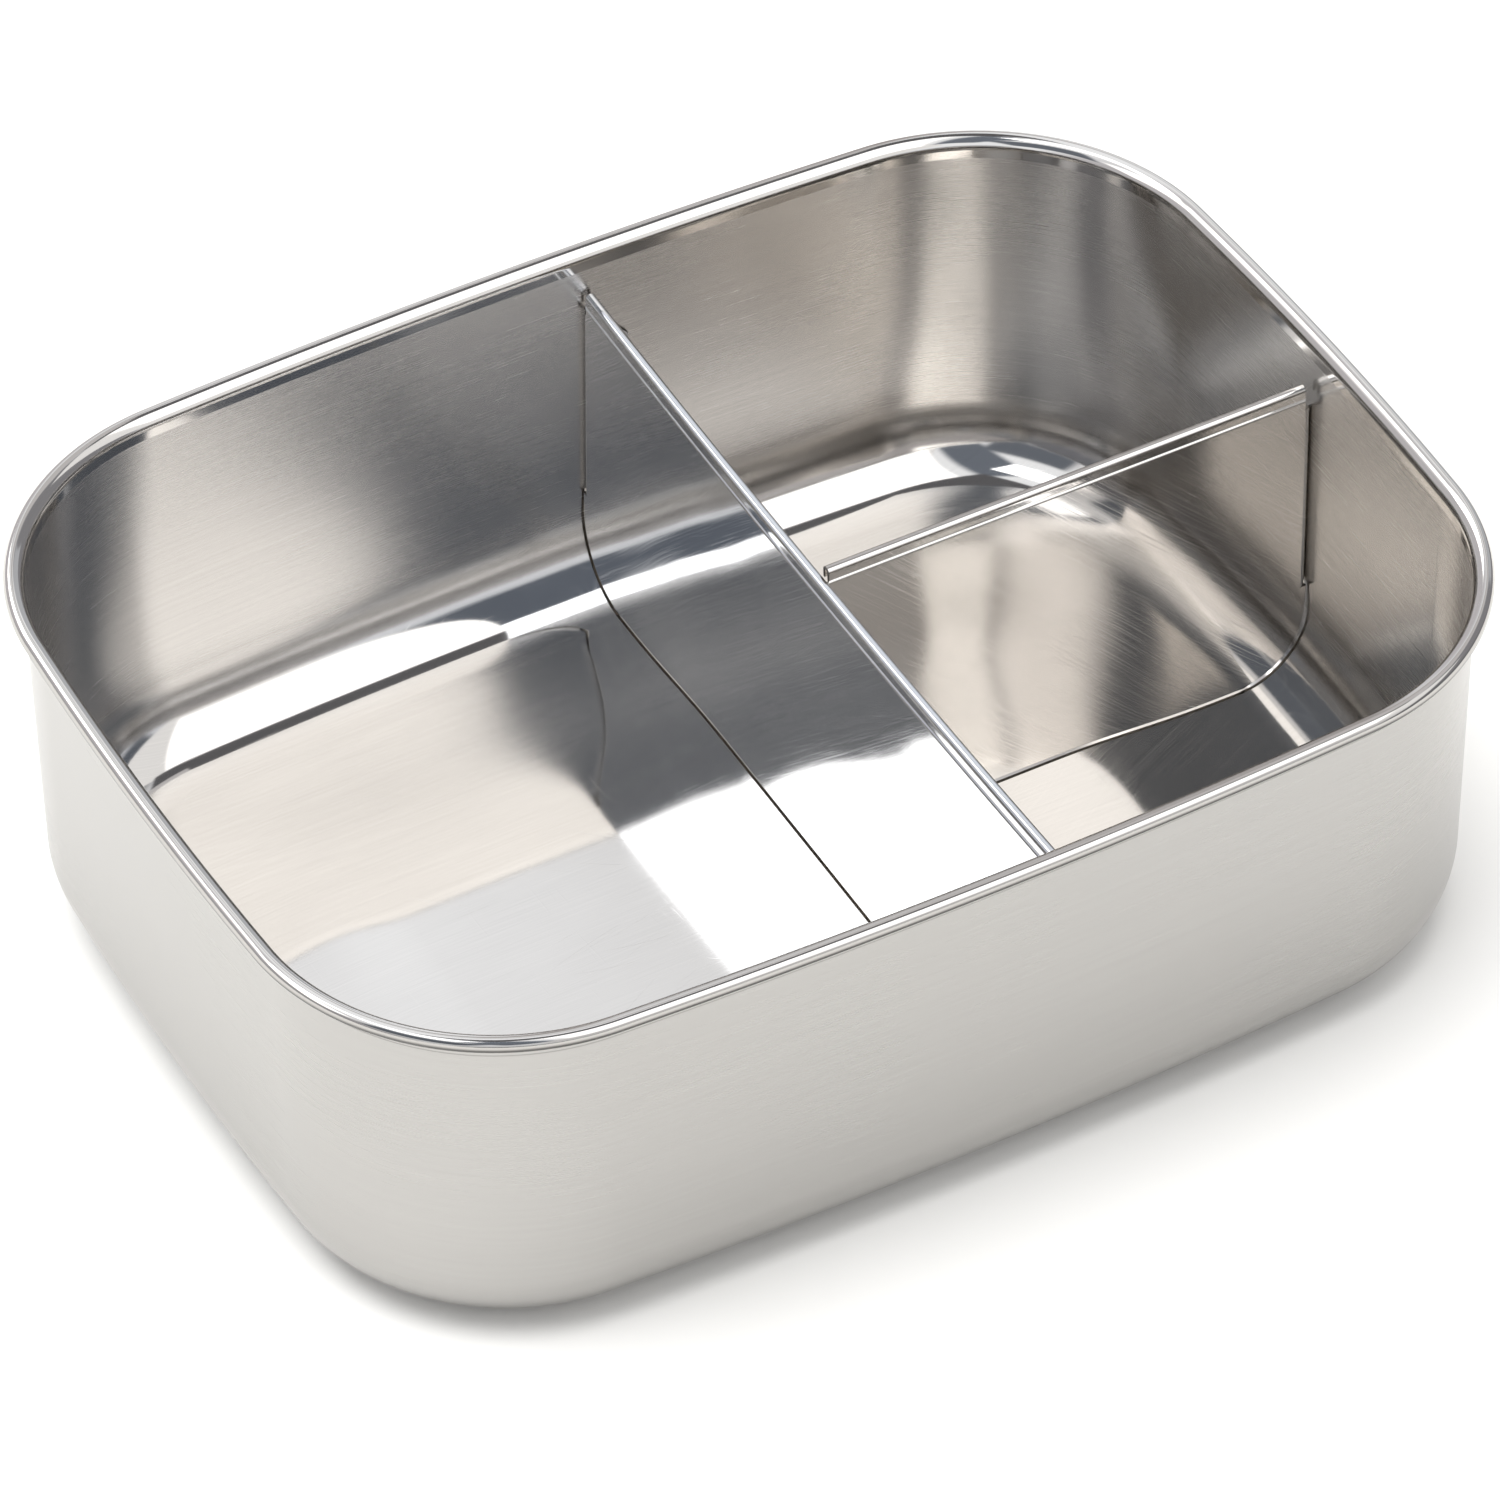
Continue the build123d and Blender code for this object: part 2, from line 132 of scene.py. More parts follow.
class Sheet:
    """Middle surface of formed sheet: quads with a normal and a finish coordinate at each point, in mm."""

    def __init__(self):
        self.p, self.n, self.uv, self.f, self.zone = [], [], [], [], []

    def count(self):
        return sum(len(a) for a in self.p)

    def grid(self, P, N, UV, wrap=False, zone=None):
        """zone: (upper, lower) material numbers for each strip between two rows."""
        r, c = P.shape[:2]
        base = self.count()
        face = np.cross(P[1:, :-1] - P[:-1, :-1], P[:-1, 1:] - P[:-1, :-1])
        flip = float((face * N[:-1, :-1]).sum()) > 0
        self.p.append(P.reshape(-1, 3))
        self.n.append(unit(N).reshape(-1, 3))
        self.uv.append(UV.reshape(-1, 2))
        i = np.arange(r - 1)[:, None]
        j = np.arange(c if wrap else c - 1)[None, :]
        j2 = (j + 1) % c
        q = np.stack(np.broadcast_arrays(i * c + j, i * c + j2, (i + 1) * c + j2, (i + 1) * c + j), -1).reshape(-1, 4)
        if flip:
            q = q[:, ::-1]
        self.f.append(q + base)
        strip = np.zeros((r - 1, 2), int) if zone is None else np.asarray(zone, int)
        self.zone.append(np.repeat(strip, c if wrap else c - 1, axis=0))

    def solid(self, name, rim=0.1, thick=T, merge=2e-3, rim_zone=0):
        """The thickened, closed mesh as a Blender object, with exact vertex normals."""
        p, n, uv, f, zone = (np.concatenate(a) for a in (self.p, self.n, self.uv, self.f, self.zone))
        key = np.round(p / merge).astype(np.int64)
        _, first, inv = np.unique(key, axis=0, return_index=True, return_inverse=True)
        inv = inv.reshape(-1)
        p, n, uv, f = p[first], n[first], uv[first], inv[f]
        faces, up, low = [], [], []
        for q, zz in zip(f.tolist(), zone.tolist()):
            k = [q[i] for i in range(4) if q[i] != q[i - 1]]
            if len(k) >= 3 and len(set(k)) == len(k):
                faces.append(k)
                up.append(zz[0])
                low.append(zz[1])
        half = {}
        for q in faces:
            for i in range(len(q)):
                half[(q[i], q[(i + 1) % len(q)])] = True
        edges = [(a, b) for (a, b) in half if (b, a) not in half]
        out = {}
        for a, b in edges:
            d = np.cross(p[b] - p[a], n[a] + n[b])
            d /= max(np.linalg.norm(d), 1e-12)
            out.setdefault(a, []).append(d)
            out.setdefault(b, []).append(d)
        h = thick / 2
        c = rim
        prof = [(0.0, h, 0.0), (0.38 * c, h - 0.08 * c, 0.38), (0.8 * c, h - 0.4 * c, 0.8), (c, h - c, 1.0),
                (c, -h + c, 1.0), (0.8 * c, -h + 0.4 * c, 0.8), (0.38 * c, -h + 0.08 * c, 0.38), (0.0, -h, 0.0)]
        verts = [p + n * h, p - n * h]
        norms = [n, -n]
        uvs = [uv, uv]
        ids = sorted(out)
        index = {v: k for k, v in enumerate(ids)}
        total = 2 * len(p)
        ring = []
        if ids:
            sums = np.array([np.sum(out[v], 0) for v in ids])
            bdir = unit(sums)
            ln = np.array([max(0.55, float(np.dot(bdir[k], out[v][0]))) for k, v in enumerate(ids)])
            bdir_m = bdir / ln[:, None]
            pv, nv = p[ids], n[ids]
            for k, (o, hh, w) in enumerate(prof):
                if k == 0:
                    ring.append(np.array(ids))
                elif k == len(prof) - 1:
                    ring.append(np.array(ids) + len(p))
                else:
                    verts.append(pv + bdir_m * o + nv * hh)
                    s = 1.0 if hh > 0 else -1.0
                    norms.append(unit(bdir * w + nv * s * math.sqrt(max(0.0, 1 - w * w))))
                    uvs.append(uv[ids])
                    ring.append(np.arange(len(ids)) + total)
                    total += len(ids)
        polys = [tuple(q) for q in faces] + [tuple(x + len(p) for x in reversed(q)) for q in faces]
        mats = up + low
        for a, b in edges:
            ia, ib = index[a], index[b]
            for k in range(len(prof) - 1):
                polys.append((int(ring[k][ib]), int(ring[k][ia]), int(ring[k + 1][ia]), int(ring[k + 1][ib])))
                mats.append(rim_zone)
        verts, norms, uvs = np.concatenate(verts), np.concatenate(norms), np.concatenate(uvs)
        me = bpy.data.meshes.new(name)
        me.from_pydata((verts * MM).tolist(), [], polys)
        me.polygons.foreach_set("use_smooth", [True] * len(me.polygons))
        me.polygons.foreach_set("material_index", mats)
        layer = me.uv_layers.new(name="finish")
        idx = np.zeros(len(me.loops), np.int32)
        me.loops.foreach_get("vertex_index", idx)
        layer.data.foreach_set("uv", (uvs[idx] * MM).astype(np.float32).ravel())
        me.update()
        me.normals_split_custom_set_from_vertices(unit(norms).tolist())
        ob = bpy.data.objects.new(name, me)
        bpy.context.scene.collection.objects.link(ob)
        return ob


def smoothstep(a, b, x):
    t = np.clip((x - a) / (b - a), 0, 1)
    return t * t * (3 - 2 * t)


# ------------------------------------------------------------------------ tray
def stations():
    """Points, outward normals and running length along the curl's centre line."""
    pts, nrm, run = [], [], []
    s = 0.0
    for c, r, a0, sw, n in ARCS:
        a = np.radians(a0 + sw * np.arange(n) / n)
        pts.append(np.stack([c[0] + r * np.cos(a), c[1] + r * np.sin(a)], -1))
        nrm.append(np.stack([np.cos(a), np.sin(a)], -1))
        run.append(s + r * np.radians(sw) * np.arange(n) / n)
        s += r * math.radians(sw)
    return np.concatenate(pts), np.concatenate(nrm), np.concatenate(run), s


def tray_section():
    """(r, z, normal r, normal z, zone) of the sheet's middle, from the floor's edge to the end of the curl.
    Zone: 0 floor, 1 fillet, 2 wall, 3 flare and curl."""
    rows = []
    rm = FILLET - HM
    for a in np.linspace(-90, -math.degrees(ALPHA), 30)[:-1]:
        ca, sa = math.cos(math.radians(a)), math.sin(math.radians(a))
        rows.append((-U_FLOOR + rm * ca, FILLET + rm * sa, -ca, -sa, 1))
    a = -ALPHA
    p0 = np.array([-U_FLOOR + rm * math.cos(a), FILLET + rm * math.sin(a)])
    fm = FLARE_R - HM
    th0 = 180.0 - math.degrees(ALPHA)
    p1 = np.array([FLARE_C[0] + fm * math.cos(math.radians(th0)), FLARE_C[1] + fm * math.sin(math.radians(th0))])
    for t in np.linspace(0, 1, 34)[:-1]:
        q = p0 + (p1 - p0) * t
        rows.append((q[0], q[1], -CA, SA, 2))
    for th in np.linspace(th0, TH_FLARE, 12)[:-1]:
        c, s = math.cos(math.radians(th)), math.sin(math.radians(th))
        rows.append((FLARE_C[0] + fm * c, FLARE_C[1] + fm * s, c, s, 3))
    bm = BEAD_R - HM
    for th in np.linspace(TH_FLARE, CURL_END, 34):
        c, s = math.cos(math.radians(th)), math.sin(math.radians(th))
        rows.append((bm * c, Z0 + bm * s, c, s, 3))
    return np.array(rows)


def floor_dish(x, y):
    """Height of the floor's crown in mm, and its slopes. Zero, with no slope, at the floor's edge."""
    def side(v, half, wide):
        t = np.clip((half - np.abs(v)) / wide, 0, 1)
        f = t * t * t * (10 - 15 * t + 6 * t * t)
        d = 30 * t * t * (1 - t) ** 2 / wide
        return f, -np.sign(v) * d
    fx, dx = side(x, 83.4, 34.0)
    fy, dy = side(y, 59.6, 34.0)
    return RAISE * fx * fy, RAISE * dx * fy, RAISE * fx * dy


def hem_path():
    """Middle line of a divider's top: jog, rise, roll to the far side and lip. Rows (x, z, normal x, normal z)."""
    x0, zz = HM, np.linspace(-JOG_LO - 0.08, -JOG_HI + 0.08, 9)
    pts = [(x0 - JOG * q * q * (3 - 2 * q), v) for v, q in zip(zz, np.linspace(0, 1, 9))]
    pts += [(x0 - JOG, v) for v in np.linspace(-JOG_HI + 0.08, 0, 5)[1:]]
    c, rm = HEM_R - JOG, HEM_R - HM
    pts += [(c + rm * math.cos(t), rm * math.sin(t)) for t in np.radians(np.linspace(180, 0, 21))[1:]]
    pts += [(c + rm, -v) for v in np.linspace(0, LIP, 5)[1:]]
    pts = np.array(pts)
    tan = np.gradient(pts, axis=0)
    tan[0] = tan[-1] = (0, 1)
    tan[-1] = (0, -1)
    tan /= np.linalg.norm(tan, axis=1)[:, None]
    return np.column_stack([pts, -tan[:, 1], tan[:, 0]])


def build_tray():
    pts, nrm, run, _ = stations()
    sec = tray_section()
    d = np.concatenate([[0], np.cumsum(np.hypot(np.diff(sec[:, 0]), np.diff(sec[:, 1])))])
    P = np.zeros((len(sec), len(pts), 3))
    N = np.zeros_like(P)
    P[..., :2] = pts[None] + sec[:, 0][:, None, None] * nrm[None]
    P[..., 2] = sec[:, 1][:, None]
    N[..., :2] = sec[:, 2][:, None, None] * nrm[None]
    N[..., 2] = sec[:, 3][:, None]
    UV = np.zeros((len(sec), len(pts), 2))
    UV[..., 0] = run[None]
    UV[..., 1] = d[:, None]
    sh = Sheet()
    kind = np.maximum(sec[:-1, 4], sec[1:, 4])
    sh.grid(P, N, UV, wrap=True, zone=np.stack([np.where(kind > 2, 1, 0), np.where(kind > 2, 1, 2)], -1))
    edge = P[0, :, :2]
    centre = np.array([LD_X - 1.4, 0.0])
    ts = np.concatenate([np.linspace(0, 1, 34)])
    F = np.zeros((len(ts), len(pts), 3))
    F[..., :2] = edge[None] * (1 - ts)[:, None, None] + centre * ts[:, None, None]
    w, wx, wy = floor_dish(F[..., 0], F[..., 1])
    F[..., 2] = HM + w
    FN = np.stack([-wx, -wy, np.ones_like(wx)], -1)
    FUV = np.zeros((len(ts), len(pts), 2))
    FUV[..., 0] = run[None]
    FUV[..., 1] = -ts[:, None] * 60
    sh.grid(F, FN, FUV, wrap=True, zone=[(0, 2)] * (len(ts) - 1))
    return sh.solid("tray_sheet", rim_zone=1)


# -------------------------------------------------------------------- dividers
def rot_y(v, deg, zc):
    c, s = math.cos(math.radians(deg)), math.sin(math.radians(deg))
    x, y, z = v[..., 0], v[..., 1], v[..., 2] - zc
    return np.stack([x * c + z * s, y, -x * s + z * c + zc], -1)


def rot_x(v, deg, zc):
    c, s = math.cos(math.radians(deg)), math.sin(math.radians(deg))
    x, y, z = v[..., 0], v[..., 1], v[..., 2] - zc
    return np.stack([x, y * c - z * s, y * s + z * c + zc], -1)


def rot_z(v, deg):
    c, s = math.cos(math.radians(deg)), math.sin(math.radians(deg))
    return np.stack([v[..., 0] * c - v[..., 1] * s, v[..., 0] * s + v[..., 1] * c, v[..., 2]], -1)


def long_world(v):
    return rot_z(rot_y(v, LD_LEAN, LD_HEM_Z), LD_SKEW) + np.array([LD_X, 0, 0])


def long_dir(v):
    return rot_z(rot_y(v, LD_LEAN, 0.0), LD_SKEW)


def long_local(w):
    return rot_y(rot_z(w - np.array([LD_X, 0, 0]), -LD_SKEW), -LD_LEAN, LD_HEM_Z)


def short_world(v):
    return rot_x(v, -SD_LEAN, SD_HEM_Z) + np.array([0, SD_Y, 0])


def short_dir(v):
    return rot_x(v, -SD_LEAN, 0.0)


def solve(fn, lo, hi, n=46):
    """Elementwise bisection: fn rises through zero between lo and hi."""
    lo, hi = np.array(lo, float), np.array(hi, float)
    for _ in range(n):
        m = (lo + hi) / 2
        v = fn(m) > 0
        hi = np.where(v, m, hi)
        lo = np.where(v, lo, m)
    return (lo + hi) / 2


def long_edge(x, z, side, g):
    """Local y at which the long divider's point (x, y, z) is g short of the front or back wall."""
    def over(y):
        w = long_world(np.stack([x, side * y, z], -1))
        r = np.hypot(w[..., 0], side * w[..., 1] - YC) - SIDE_LONG_R
        return r - r_clear(w[..., 2], g)
    return side * solve(over, np.full(x.shape, 40.0), np.full(x.shape, 80.0))


def short_edge(y, z, g):
    """Local x at which the short divider's point is g short of the right wall."""
    def over(x):
        w = short_world(np.stack([x, y, z], -1))
        r = np.hypot(w[..., 0] - XC, w[..., 1]) - SIDE_SHORT_R
        return r - r_clear(w[..., 2], g)
    return solve(over, np.full(y.shape, 60.0), np.full(y.shape, 110.0))


def short_start(y, z, g):
    """Local x at which the short divider's point is g right of the long divider's right face."""
    def over(x):
        w = short_world(np.stack([x, y, z], -1))
        return long_local(w)[..., 0] - (T + g)
    return solve(over, np.full(y.shape, 0.0), np.full(y.shape, 40.0))


def low_gap(z):
    """Gap below the weld tabs, a little wider along the fillet than between the tabs and the wall."""
    return EDGE_GAP + 0.05 + 0.3 * (1 - smoothstep(12.5, 17, z))


def rows_z(z_tab_lo, z_tab_hi):
    """Heights of the plate's rows: dense round the fillet, then up to the hem's zone."""
    rr = FILLET - T - EDGE_GAP - 0.25
    a = np.radians(np.linspace(-90, -1.0, 20))
    z = list(FILLET + rr * np.sin(a))
    z = [q for q in z if q < z_tab_lo - 0.3]
    z += list(np.linspace(z[-1], z_tab_lo, 4)[1:])
    k0 = len(z) - 1
    z += list(np.linspace(z_tab_lo, z_tab_hi, 26)[1:])
    k1 = len(z) - 1
    return np.array(z), k0, k1


def weave(y, z, amp, seed):
    """Slight unevenness of a rolled sheet: height and both slopes."""
    h = np.zeros_like(y)
    hy = np.zeros_like(y)
    hz = np.zeros_like(y)
    rng = np.random.default_rng(seed)
    for k in range(7):
        wl = rng.uniform(22, 75)
        th = rng.uniform(0, math.pi)
        ph = rng.uniform(0, 2 * math.pi)
        ky, kz = 2 * math.pi / wl * math.cos(th), 2 * math.pi / wl * math.sin(th)
        a = amp * (wl / 50.0)
        s, c = np.sin(ky * y + kz * z + ph), np.cos(ky * y + kz * z + ph)
        h += a * s
        hy += a * ky * c
        hz += a * kz * c
    return h, hy, hz


def floor_lift(to_world, X, Y, Z):
    """Raise a divider's lower edge over the floor's crown, fading out upwards."""
    w = to_world(np.stack([X, Y, Z], -1))
    lift = floor_dish(w[..., 0], w[..., 1])[0]
    return lift * (1 - smoothstep(FILLET, FILLET + 14, Z))


LD_WEAVE, SD_WEAVE = 0.05, 0.025


def build_long():
    half = B - (WALL_IN + T) - LD_END_GAP
    sag_r = (half * half + LD_SAG * LD_SAG) / (2 * LD_SAG)
    mid_z = LD_HEM_Z - LD_SAG
    sag_c = mid_z + sag_r
    z, k0, k1 = rows_z(17.0, 52.9)
    u = np.sin(np.linspace(-1, 1, 121) * math.pi / 2 * 0.985) / math.sin(math.pi / 2 * 0.985)
    u = 0.35 * u + 0.65 * np.linspace(-1, 1, 121)
    xm = np.full(z.shape, HM)
    ef = {s: long_edge(xm, z, s, EDGE_GAP + 0.0) for s in (-1, 1)}
    wm = {s: np.abs(ef[s]) - BEND_R for s in (-1, 1)}

    def span(lo_half, hi_half):
        """Local y of the columns for rows whose half lengths are given."""
        return np.where(u[None, :] < 0, u[None, :] * lo_half[:, None], u[None, :] * hi_half[:, None])

    zc = lambda y: sag_c - np.sqrt(sag_r ** 2 - np.clip(y, -half, half) ** 2)
    Y = span(wm[-1], wm[1])
    Z = np.repeat(z[:, None], len(u), 1)
    Z = Z + (zc(Y) - LD_HEM_Z) * smoothstep(24, z[-1], Z)
    nb = len(Y)
    path = hem_path()
    w = smoothstep(-1, 6, np.arange(len(path)))
    Yh = span(wm[-1][-1] + (half - wm[-1][-1]) * w, wm[1][-1] + (half - wm[1][-1]) * w)
    X = np.concatenate([np.full(Y.shape, HM), np.repeat(path[:, :1], len(u), 1)])
    Z = np.concatenate([Z, zc(Yh) + path[:, 1:2]])
    Y = np.concatenate([Y, Yh])
    NX = np.concatenate([np.full((nb, len(u)), -1.0), np.repeat(path[:, 2:3], len(u), 1)])
    NZ = np.concatenate([np.zeros((nb, len(u))), np.repeat(path[:, 3:4], len(u), 1)])
    # axis slope of the sagging hem
    NY = -NZ * Y / sag_r
    fade = smoothstep(0.9, 6, Z) * (1 - smoothstep(40, 49, Z)) * (1 - smoothstep(58, 69, np.abs(Y)))
    fade[nb:] = 0
    h, hy, hz = weave(Y, Z, LD_WEAVE, 5)
    X = X + h * fade
    NY = NY + hy * fade
    NZ = NZ + hz * fade
    Z = Z + floor_lift(long_world, X, Y, Z)
    P = np.stack([X, Y, Z], -1)
    N = np.stack([NX, NY, NZ], -1)
    d = np.concatenate([[0], np.cumsum(np.linalg.norm(np.diff(P[:, len(u) // 2], axis=0), axis=-1))])
    UV = np.stack([Y, np.repeat(d[:, None], len(u), 1)], -1)
    sh = Sheet()
    sh.grid(long_world(P), long_dir(N), UV)
    # plain ends beyond the last column, below the tabs
    for s in (-1, 1):
        col = -1 if s > 0 else 0
        for r0, r1 in ((0, k0),):
            rows = np.arange(r0, r1 + 1)
            start = P[rows, col]
            e = long_edge(start[:, 0], start[:, 2], s, low_gap(start[:, 2]))
            t = np.linspace(0, 1, 4)
            Q = np.repeat(start[:, None], 4, 1)
            Q[..., 1] = start[:, None, 1] * (1 - t) + e[:, None] * t
            NN = np.zeros_like(Q)
            NN[..., 0] = -1
            U = np.stack([Q[..., 1], np.repeat(UV[rows, col, 1][:, None], 4, 1)], -1)
            sh.grid(long_world(Q), long_dir(NN), U)
        # bend and weld tab
        rows = np.arange(k0, k1 + 1)
        v = (z[rows] - z[k0]) / (z[k1] - z[k0])
        beta = np.radians(np.linspace(0, 90, 9))
        xs = list(HM + BEND_R * (1 - np.cos(beta)))
        ys = list(BEND_R * (np.sin(beta) - 1))
        nbend = len(xs)
        extra = np.linspace(0, 7.75 - 0.2 - (HM + BEND_R), 12)[1:]
        xs += list(HM + BEND_R + extra)
        ys += [0.0] * len(extra)
        xs, ys = np.array(xs), np.array(ys)
        s_run = np.concatenate([[0], np.cumsum(np.hypot(np.diff(xs), np.diff(ys)))])
        ztop = 52.9 - np.maximum(0, xs - 0.55) * (6.6 / 6.8)
        zbot = 17.0 + np.maximum(0, xs - 0.55) * (6.0 / 6.8)
        ZZ = zbot[None] + v[:, None] * (ztop - zbot)[None]
        XX = np.repeat(xs[None], len(v), 0)
        E = long_edge(XX, ZZ, s, EDGE_GAP)
        # the first column must meet the sheet exactly
        YY = E + s * ys[None]
        YY[:, 0] = P[rows, col, 1]
        ang = np.concatenate([beta, np.full(len(extra), math.pi / 2)])
        Q = np.stack([XX, YY, ZZ], -1)
        NN = -np.stack([np.repeat(np.cos(ang)[None], len(v), 0), np.repeat(-s * np.sin(ang)[None], len(v), 0),
                        np.repeat((np.sin(ang) * SA)[None], len(v), 0)], -1)
        # weld dimples
        for zw in (26.0, 35.0, 44.0):
            dd = np.hypot(XX - 4.0, ZZ - zw)
            Q[..., 1] += s * 0.06 * np.exp(-(dd / 1.1) ** 2)
        U = np.stack([Q[:, :1, 1] + s * s_run[None], np.repeat(UV[rows, col, 1][:, None], len(xs), 1)], -1)
        sh.grid(long_world(Q), long_dir(NN), U)
    return sh.solid("long_divider_sheet", rim=0.1, rim_zone=1)


def build_short():
    x_start = LD_X + 2 * HEM_R - JOG + SD_START_GAP
    x_stop = XC + math.sqrt((SIDE_SHORT_R + r_out(SD_HEM_Z) - T / CA) ** 2) - SD_END_GAP
    z, k0, k1 = rows_z(17.0, 52.0)
    nu = 81
    u = np.linspace(0, 1, nu)
    ym = np.full(z.shape, HM)
    xr = short_edge(ym, z, EDGE_GAP) - BEND_R
    xl = short_start(ym, z, EDGE_GAP) + BEND_R
    X = xl[:, None] + (xr - xl)[:, None] * u[None]
    Z = np.repeat(z[:, None], nu, 1)
    nb = len(X)
    path = hem_path()
    path = np.concatenate([[[HM, (z[-1] - SD_HEM_Z + path[0, 1]) / 2, -1, 0]], path])
    w = smoothstep(-1, 7, np.arange(len(path)))
    lo = xl[-1] + (x_start - xl[-1]) * w
    hi = xr[-1] + (x_stop - xr[-1]) * w
    Xh = lo[:, None] + (hi - lo)[:, None] * u[None]
    # + side is the near face (-Y) and the outside of the roll
    Y = np.concatenate([np.full((nb, nu), HM), np.repeat(path[:, :1], nu, 1)])
    Z = np.concatenate([Z, np.repeat(SD_HEM_Z + path[:, 1:2], nu, 1)])
    X = np.concatenate([X, Xh])
    NY = np.concatenate([np.full((nb, nu), -1.0), np.repeat(path[:, 2:3], nu, 1)])
    NZ = np.concatenate([np.zeros((nb, nu)), np.repeat(path[:, 3:4], nu, 1)])
    NX = np.zeros_like(NY)
    fade = smoothstep(0.9, 6, Z) * (1 - smoothstep(40, 49, Z)) * smoothstep(0, 0.15, u)[None] * (1 - smoothstep(0.85, 1, u))[None]
    fade[nb:] = 0
    h, hx, hz = weave(X, Z, SD_WEAVE, 11)
    Y = Y + h * fade
    NX = NX + hx * fade
    NZ = NZ + hz * fade
    Z = Z + floor_lift(short_world, X, Y, Z)
    P = np.stack([X, Y, Z], -1)
    N = np.stack([NX, NY, NZ], -1)
    d = np.concatenate([[0], np.cumsum(np.linalg.norm(np.diff(P[:, nu // 2], axis=0), axis=-1))])
    UV = np.stack([X, np.repeat(d[:, None], nu, 1)], -1)
    sh = Sheet()
    sh.grid(short_world(P), short_dir(N), UV)
    for s in (-1, 1):
        col = -1 if s > 0 else 0
        edge = (lambda y, q, g: short_edge(y, q, g)) if s > 0 else (lambda y, q, g: short_start(y, q, g))
        for r0, r1 in ((0, k0),):
            rows = np.arange(r0, r1 + 1)
            start = P[rows, col]
            e = edge(start[:, 1], start[:, 2], low_gap(start[:, 2]))
            t = np.linspace(0, 1, 4)
            Q = np.repeat(start[:, None], 4, 1)
            Q[..., 0] = start[:, None, 0] * (1 - t) + e[:, None] * t
            NN = np.zeros_like(Q)
            NN[..., 1] = -1
            U = np.stack([Q[..., 0], np.repeat(UV[rows, col, 1][:, None], 4, 1)], -1)
            sh.grid(short_world(Q), short_dir(NN), U)
        rows = np.arange(k0, k1 + 1)
        v = (z[rows] - z[k0]) / (z[k1] - z[k0])
        beta = np.radians(np.linspace(0, 90, 9))
        yy = list(HM + BEND_R * (1 - np.cos(beta)))
        xx = list(BEND_R * (np.sin(beta) - 1))
        extra = np.linspace(0, 7.75 - 0.2 - (HM + BEND_R), 12)[1:]
        yy += list(HM + BEND_R + extra)
        xx += [0.0] * len(extra)
        yy, xx = np.array(yy), np.array(xx)
        s_run = np.concatenate([[0], np.cumsum(np.hypot(np.diff(xx), np.diff(yy)))])
        ztop = 52.0 - np.maximum(0, yy - 0.55) * (6.6 / 6.8)
        zbot = 17.0 + np.maximum(0, yy - 0.55) * (6.0 / 6.8)
        ZZ = zbot[None] + v[:, None] * (ztop - zbot)[None]
        YY = np.repeat(yy[None], len(v), 0)
        E = edge(YY, ZZ, EDGE_GAP)
        XX = E + s * xx[None]
        XX[:, 0] = P[rows, col, 0]
        ang = np.concatenate([beta, np.full(len(extra), math.pi / 2)])
        Q = np.stack([XX, YY, ZZ], -1)
        NN = -np.stack([np.repeat(-s * np.sin(ang)[None], len(v), 0), np.repeat(np.cos(ang)[None], len(v), 0),
                        np.repeat((np.sin(ang) * SA)[None], len(v), 0)], -1)
        for zw in (26.0, 35.0, 43.0):
            dd = np.hypot(YY - 3.8, ZZ - zw)
            Q[..., 0] += s * 0.06 * np.exp(-(dd / 1.1) ** 2)
        U = np.stack([Q[:, :1, 0] + s * s_run[None], np.repeat(UV[rows, col, 1][:, None], len(yy), 1)], -1)
        sh.grid(short_world(Q), short_dir(NN), U)
    return sh.solid("short_divider_sheet", rim=0.1, rim_zone=1)


tray = build_tray()
long_div = build_long()
short_div = build_short()

